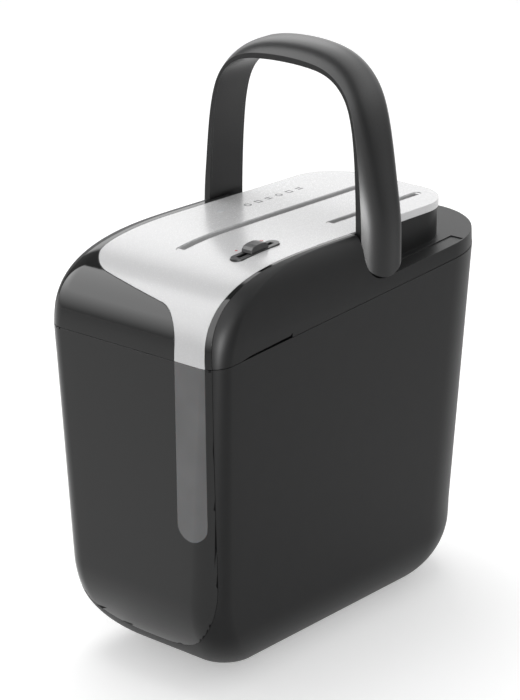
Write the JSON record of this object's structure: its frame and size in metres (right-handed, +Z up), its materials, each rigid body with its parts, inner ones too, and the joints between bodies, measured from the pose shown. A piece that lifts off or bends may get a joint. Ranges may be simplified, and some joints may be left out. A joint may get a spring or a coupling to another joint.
{
  "type": "paper shredder",
  "caption": "Desk-side paper shredder with a lift-off cutting head, a tapered waste bin with a fill window, paper and card slots, a slide switch and a folding bail handle.",
  "frame": {"origin": "on the floor under the middle of the body", "axes": "+Z up; -Y out of the glossy front with the window; +X to the window's side, which is the right-hand side seen from the front"},
  "size_m": [0.1692, 0.3206, 0.43],
  "materials": {
    "satin_body": "satin dark grey with a fine grain",
    "gloss_panel": "polished black",
    "window": "smoked translucent",
    "white_cover": "semi-gloss white",
    "handle_plastic": "smooth satin black",
    "black_plastic": "plain",
    "rubber": "plain",
    "lens": "clear light lens",
    "steel": "machined",
    "bronze": "sintered",
    "brass_pins": "plated",
    "gear_plastic": "moulded",
    "board": "coated board",
    "capacitor": "sleeved",
    "copper": "wound wire and laminations"
  },
  "bodies": {
    "bin": {"bin_shell": "satin_body", "bin_front_panel": "gloss_panel", "bin_window": "window", "interlock_key": "satin_body", "foot_front_left": "rubber", "foot_front_right": "rubber", "foot_rear_left": "rubber", "foot_rear_right": "rubber"},
    "head": {"head_housing": "satin_body", "front_trim": "gloss_panel", "top_cover": "white_cover", "head_tub": "satin_body", "paper_throat": "white_cover", "card_throat": "white_cover", "sensor_switch": "black_plastic", "switch_plate": "black_plastic", "slide_switch": "black_plastic", "status_lens": "lens", "pivot_pin_right": "steel", "pivot_pin_left": "steel", "side_plate_front": "steel", "side_plate_rear": "steel", "bush_drive_front": "bronze", "bush_drive_rear": "bronze", "bush_driven_front": "bronze", "bush_driven_rear": "bronze", "comb_left": "black_plastic", "comb_right": "black_plastic", "tie_rods": "steel", "gear_bracket": "steel", "idler_axle": "steel", "motor_can": "steel", "motor_end_cap": "black_plastic", "thermal_cutout": "black_plastic", "circuit_board": "board", "relay": "black_plastic", "capacitor": "capacitor", "transformer": "black_plastic", "power_inlet": "black_plastic", "inlet_pins": "brass_pins", "interlock_switch": "black_plastic"},
    "handle": {"handle_shell": "handle_plastic", "handle_liner": "handle_plastic"},
    "mode_slider": {"mode_knob": "black_plastic", "knob_stem": "black_plastic"},
    "drive_cutter": {"drive_shaft": "steel", "drive_discs": "steel", "drive_gear": "gear_plastic", "sync_gear_drive": "steel"},
    "driven_cutter": {"driven_shaft": "steel", "driven_discs": "steel", "sync_gear_driven": "steel"},
    "motor_rotor": {"motor_shaft": "steel", "motor_armature": "copper", "motor_pinion": "steel"},
    "idler": {"idler_wheel": "gear_plastic", "idler_pinion": "steel"},
    "sensor_lever": {"sensor_lever": "black_plastic"},
    "interlock_plunger": {"interlock_plunger": "black_plastic"}
  },
  "joints": [
    {"name": "head_lift", "type": "slide", "parent": "bin", "child": "head", "axis": [0, 0, 1], "range_m": [0, 0.12]},
    {"name": "handle_fold", "type": "hinge", "parent": "head", "child": "handle", "pos_m": [0, 0.0155, 0.29], "axis": [1, 0, 0], "range_deg": [-85, 0]},
    {"name": "mode_slide", "type": "slide", "parent": "head", "child": "mode_slider", "axis": [0, 0.9981, 0.061], "range_m": [-0.0135, 0.0135]},
    {"name": "drive_cutter_spin", "type": "hinge", "parent": "head", "child": "drive_cutter", "pos_m": [0.021, 0, 0.238], "axis": [0, 1, 0], "continuous": true},
    {"name": "driven_cutter_spin", "type": "hinge", "parent": "head", "child": "driven_cutter", "pos_m": [-0.005, 0, 0.238], "axis": [0, 1, 0], "continuous": true},
    {"name": "idler_spin", "type": "hinge", "parent": "head", "child": "idler", "pos_m": [0.02477, 0, 0.2665], "axis": [0, 1, 0], "continuous": true},
    {"name": "motor_spin", "type": "hinge", "parent": "head", "child": "motor_rotor", "pos_m": [0.052, 0, 0.26], "axis": [0, 1, 0], "continuous": true},
    {"name": "sensor_tilt", "type": "hinge", "parent": "head", "child": "sensor_lever", "pos_m": [-0.0165, 0.01, 0.268], "axis": [0, 1, 0], "range_deg": [0, 18], "stiffness_Nm_per_rad": 0.004, "springref_deg": -11.46},
    {"name": "interlock_press", "type": "slide", "parent": "head", "child": "interlock_plunger", "axis": [0, 0, 1], "range_m": [0, 0.002], "stiffness_N_per_m": 120, "springref_m": -0.004}
  ],
  "couplings": [
    {"joint": "idler_spin", "follows": "motor_spin", "ratio": -0.27273},
    {"joint": "drive_cutter_spin", "follows": "motor_spin", "ratio": 0.075758},
    {"joint": "driven_cutter_spin", "follows": "motor_spin", "ratio": -0.075758}
  ]
}
